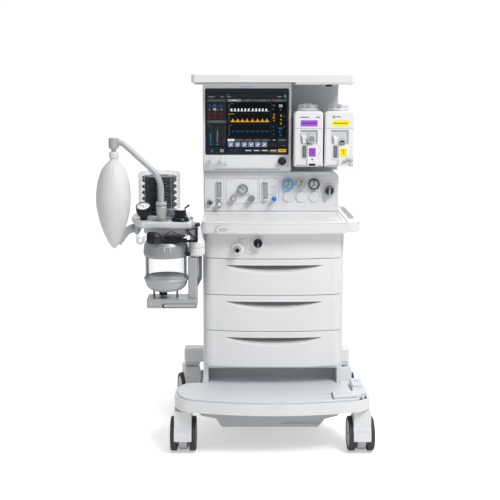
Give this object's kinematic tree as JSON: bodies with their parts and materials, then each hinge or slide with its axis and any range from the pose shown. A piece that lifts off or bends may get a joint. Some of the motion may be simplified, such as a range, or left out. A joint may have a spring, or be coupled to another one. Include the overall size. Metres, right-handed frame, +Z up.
{
  "type": "anesthesia machine",
  "caption": "Castored anesthesia machine: drawer cabinet, worktop, gas console, monitor, two vaporizers, and a side breathing circuit with bellows, bag arm and absorber canister.",
  "frame": {"origin": "centre of the machine's outline on the floor, under the castors", "axes": "+Z up, the machine's height; +Y to the back; +X to the right as seen from the front"},
  "size_m": [1.006, 0.6888, 1.377],
  "materials": {
    "white_plastic": "satin white moulding",
    "white_steel": "white powder coat",
    "grey_plastic": "satin grey moulding",
    "mat": "blue-grey matt moulding",
    "pan_steel": "grey painted sheet",
    "black_plastic": "satin black",
    "navy_plastic": "satin navy",
    "blue_plastic": "blue",
    "wheel": "dark grey tread",
    "bellows_rubber": "matt black",
    "bag": "translucent white silicone",
    "satin_metal": "satin cast aluminium",
    "chrome": "polished",
    "clear": "clear",
    "screen": "black glass"
  },
  "bodies": {
    "machine": {"base_cover": "white_plastic", "foot_mat": "mat", "chassis_frame": "white_steel", "bottom_pan": "pan_steel", "cabinet_shell": "white_steel", "outlet_fascia": "white_plastic", "fresh_gas_outlet": "chrome", "worktop": "white_plastic", "side_handle": "white_plastic", "console_housing": "white_plastic", "auxiliary_flowmeter": "clear", "total_flowmeter": "clear", "suction_gauge": "chrome", "gauge_cluster": "chrome", "column_housing": "white_plastic", "display_housing": "white_plastic", "display_screen": "screen", "top_shelf": "white_plastic", "vaporizer_left": "white_plastic", "vaporizer_right": "white_plastic", "circuit_mount": "white_plastic", "breathing_block": "grey_plastic", "bellows_dome": "clear", "bellows": "bellows_rubber", "airway_gauge": "black_plastic", "patient_ports": "grey_plastic", "oxygen_sensor": "black_plastic", "sensor_cable": "black_plastic", "canister_head": "satin_metal", "canister_bracket": "satin_metal"},
    "caster_fl": {"caster_fork_fl": "white_plastic"},
    "wheels_fl": {"caster_wheels_fl": "wheel"},
    "caster_fr": {"caster_fork_fr": "white_plastic"},
    "wheels_fr": {"caster_wheels_fr": "wheel"},
    "caster_rl": {"caster_fork_rl": "white_plastic"},
    "wheels_rl": {"caster_wheels_rl": "wheel"},
    "caster_rr": {"caster_fork_rr": "white_plastic"},
    "wheels_rr": {"caster_wheels_rr": "wheel"},
    "drawer_top_body": {"drawer_top": "white_plastic"},
    "drawer_middle_body": {"drawer_middle": "white_plastic"},
    "drawer_bottom_body": {"drawer_bottom": "white_plastic"},
    "brake_pedal_body": {"brake_pedal": "mat"},
    "oxygen_flush_body": {"oxygen_flush_button": "grey_plastic"},
    "outlet_selector_body": {"outlet_selector": "black_plastic"},
    "suction_mode_body": {"suction_mode_knob": "grey_plastic"},
    "suction_regulator_body": {"suction_regulator_knob": "grey_plastic"},
    "auxiliary_flow_body": {"auxiliary_flow_knob": "white_plastic"},
    "total_flow_body": {"total_flow_knob": "blue_plastic"},
    "power_switch_body": {"power_switch_knob": "grey_plastic"},
    "encoder_body": {"encoder_knob": "navy_plastic"},
    "vaporizer_dial_left_body": {"vaporizer_dial_left": "white_plastic"},
    "vaporizer_dial_right_body": {"vaporizer_dial_right": "white_plastic"},
    "filler_cap_body": {"vaporizer_filler_cap": "grey_plastic"},
    "bag_arm_body": {"bag_arm": "satin_metal", "breathing_bag": "bag"},
    "apl_body": {"apl_knob": "black_plastic"},
    "bellows_disc_body": {"bellows_disc": "black_plastic"},
    "canister_handle_body": {"canister_handle": "satin_metal"},
    "canister_body": {"canister_glass": "clear", "canister_cup": "satin_metal"}
  },
  "joints": [
    {"name": "caster_swivel_fl", "type": "hinge", "parent": "machine", "child": "caster_fl", "pos_m": [-0.196, -0.2504, 0.148], "axis": [0, 0, 1], "continuous": true},
    {"name": "wheel_roll_fl", "type": "hinge", "parent": "caster_fl", "child": "wheels_fl", "pos_m": [-0.196, -0.2254, 0.0625], "axis": [1, 0, 0], "continuous": true},
    {"name": "caster_swivel_fr", "type": "hinge", "parent": "machine", "child": "caster_fr", "pos_m": [0.456, -0.2504, 0.148], "axis": [0, 0, 1], "continuous": true},
    {"name": "wheel_roll_fr", "type": "hinge", "parent": "caster_fr", "child": "wheels_fr", "pos_m": [0.456, -0.2254, 0.0625], "axis": [1, 0, 0], "continuous": true},
    {"name": "caster_swivel_rl", "type": "hinge", "parent": "machine", "child": "caster_rl", "pos_m": [-0.19, 0.2496, 0.148], "axis": [0, 0, 1], "continuous": true},
    {"name": "wheel_roll_rl", "type": "hinge", "parent": "caster_rl", "child": "wheels_rl", "pos_m": [-0.19605, 0.27386, 0.0625], "axis": [0.9703, 0.2419, 0], "continuous": true},
    {"name": "caster_swivel_rr", "type": "hinge", "parent": "machine", "child": "caster_rr", "pos_m": [0.45, 0.2496, 0.148], "axis": [0, 0, 1], "continuous": true},
    {"name": "wheel_roll_rr", "type": "hinge", "parent": "caster_rr", "child": "wheels_rr", "pos_m": [0.45, 0.2746, 0.0625], "axis": [1, 0, 0], "continuous": true},
    {"name": "drawer_top_slide", "type": "slide", "parent": "machine", "child": "drawer_top_body", "axis": [0, -1, 0], "range_m": [0, 0.32]},
    {"name": "drawer_middle_slide", "type": "slide", "parent": "machine", "child": "drawer_middle_body", "axis": [0, -1, 0], "range_m": [0, 0.32]},
    {"name": "drawer_bottom_slide", "type": "slide", "parent": "machine", "child": "drawer_bottom_body", "axis": [0, -1, 0], "range_m": [0, 0.32]},
    {"name": "brake_pedal_press", "type": "hinge", "parent": "machine", "child": "brake_pedal_body", "pos_m": [0.444, -0.1534, 0.232], "axis": [1, 0, 0], "range_deg": [0, 5]},
    {"name": "oxygen_flush_press", "type": "slide", "parent": "machine", "child": "oxygen_flush_body", "axis": [0, 1, 0], "range_m": [0, 0.006], "stiffness_N_per_m": 500, "springref_m": -0.002},
    {"name": "outlet_selector_turn", "type": "hinge", "parent": "machine", "child": "outlet_selector_body", "pos_m": [0.077, -0.1834, 0.768], "axis": [0, -1, 0], "range_deg": [0, 90]},
    {"name": "suction_mode_turn", "type": "hinge", "parent": "machine", "child": "suction_mode_body", "pos_m": [-0.0126, 0.0546, 0.9017], "axis": [0, -1, 0], "range_deg": [-45, 45]},
    {"name": "suction_regulator_turn", "type": "hinge", "parent": "machine", "child": "suction_regulator_body", "pos_m": [0.058, 0.0546, 0.9017], "axis": [0, -1, 0], "range_deg": [0, 720]},
    {"name": "auxiliary_flow_turn", "type": "hinge", "parent": "machine", "child": "auxiliary_flow_body", "pos_m": [-0.0673, 0.0546, 0.8802], "axis": [0, -1, 0], "range_deg": [0, 720]},
    {"name": "total_flow_turn", "type": "hinge", "parent": "machine", "child": "total_flow_body", "pos_m": [0.1445, 0.0546, 0.9017], "axis": [0, -1, 0], "range_deg": [0, 720]},
    {"name": "power_switch_turn", "type": "hinge", "parent": "machine", "child": "power_switch_body", "pos_m": [0.358, 0.0486, 0.932], "axis": [0, -1, 0], "range_deg": [0, 90]},
    {"name": "encoder_turn", "type": "hinge", "parent": "machine", "child": "encoder_body", "pos_m": [0.1732, 0.0242, 1.0485], "axis": [0, -1, 0], "continuous": true},
    {"name": "vaporizer_left_turn", "type": "hinge", "parent": "machine", "child": "vaporizer_dial_left_body", "pos_m": [0.2691, 0.0226, 1.2405], "axis": [0, 0, 1], "range_deg": [0, 280]},
    {"name": "vaporizer_right_turn", "type": "hinge", "parent": "machine", "child": "vaporizer_dial_right_body", "pos_m": [0.38525, 0.0226, 1.2405], "axis": [0, 0, 1], "range_deg": [0, 280]},
    {"name": "filler_cap_turn", "type": "hinge", "parent": "machine", "child": "filler_cap_body", "pos_m": [0.279, -0.0288, 1.137], "axis": [0, -1, 0], "range_deg": [0, 720]},
    {"name": "bag_arm_swing", "type": "hinge", "parent": "machine", "child": "bag_arm_body", "pos_m": [-0.272, -0.1854, 0.905], "axis": [0, 0, 1], "range_deg": [0, 60]},
    {"name": "apl_turn", "type": "hinge", "parent": "machine", "child": "apl_body", "pos_m": [-0.204, -0.1854, 0.8665], "axis": [0, 0, 1], "range_deg": [-90, 240]},
    {"name": "bellows_stroke", "type": "slide", "parent": "machine", "child": "bellows_disc_body", "axis": [0, 0, -1], "range_m": [0, 0.09], "deforming": ["bellows"]},
    {"name": "canister_handle_turn", "type": "hinge", "parent": "machine", "child": "canister_handle_body", "pos_m": [-0.256, -0.2344, 0.548], "axis": [0, 0, 1], "range_deg": [-90, 0]},
    {"name": "canister_drop", "type": "slide", "parent": "machine", "child": "canister_body", "axis": [0, 0, -1], "range_m": [0, 0.01]}
  ],
  "couplings": [
    {"joint": "canister_drop", "follows": "canister_handle_turn", "m_per_rad": -0.0063662}
  ]
}
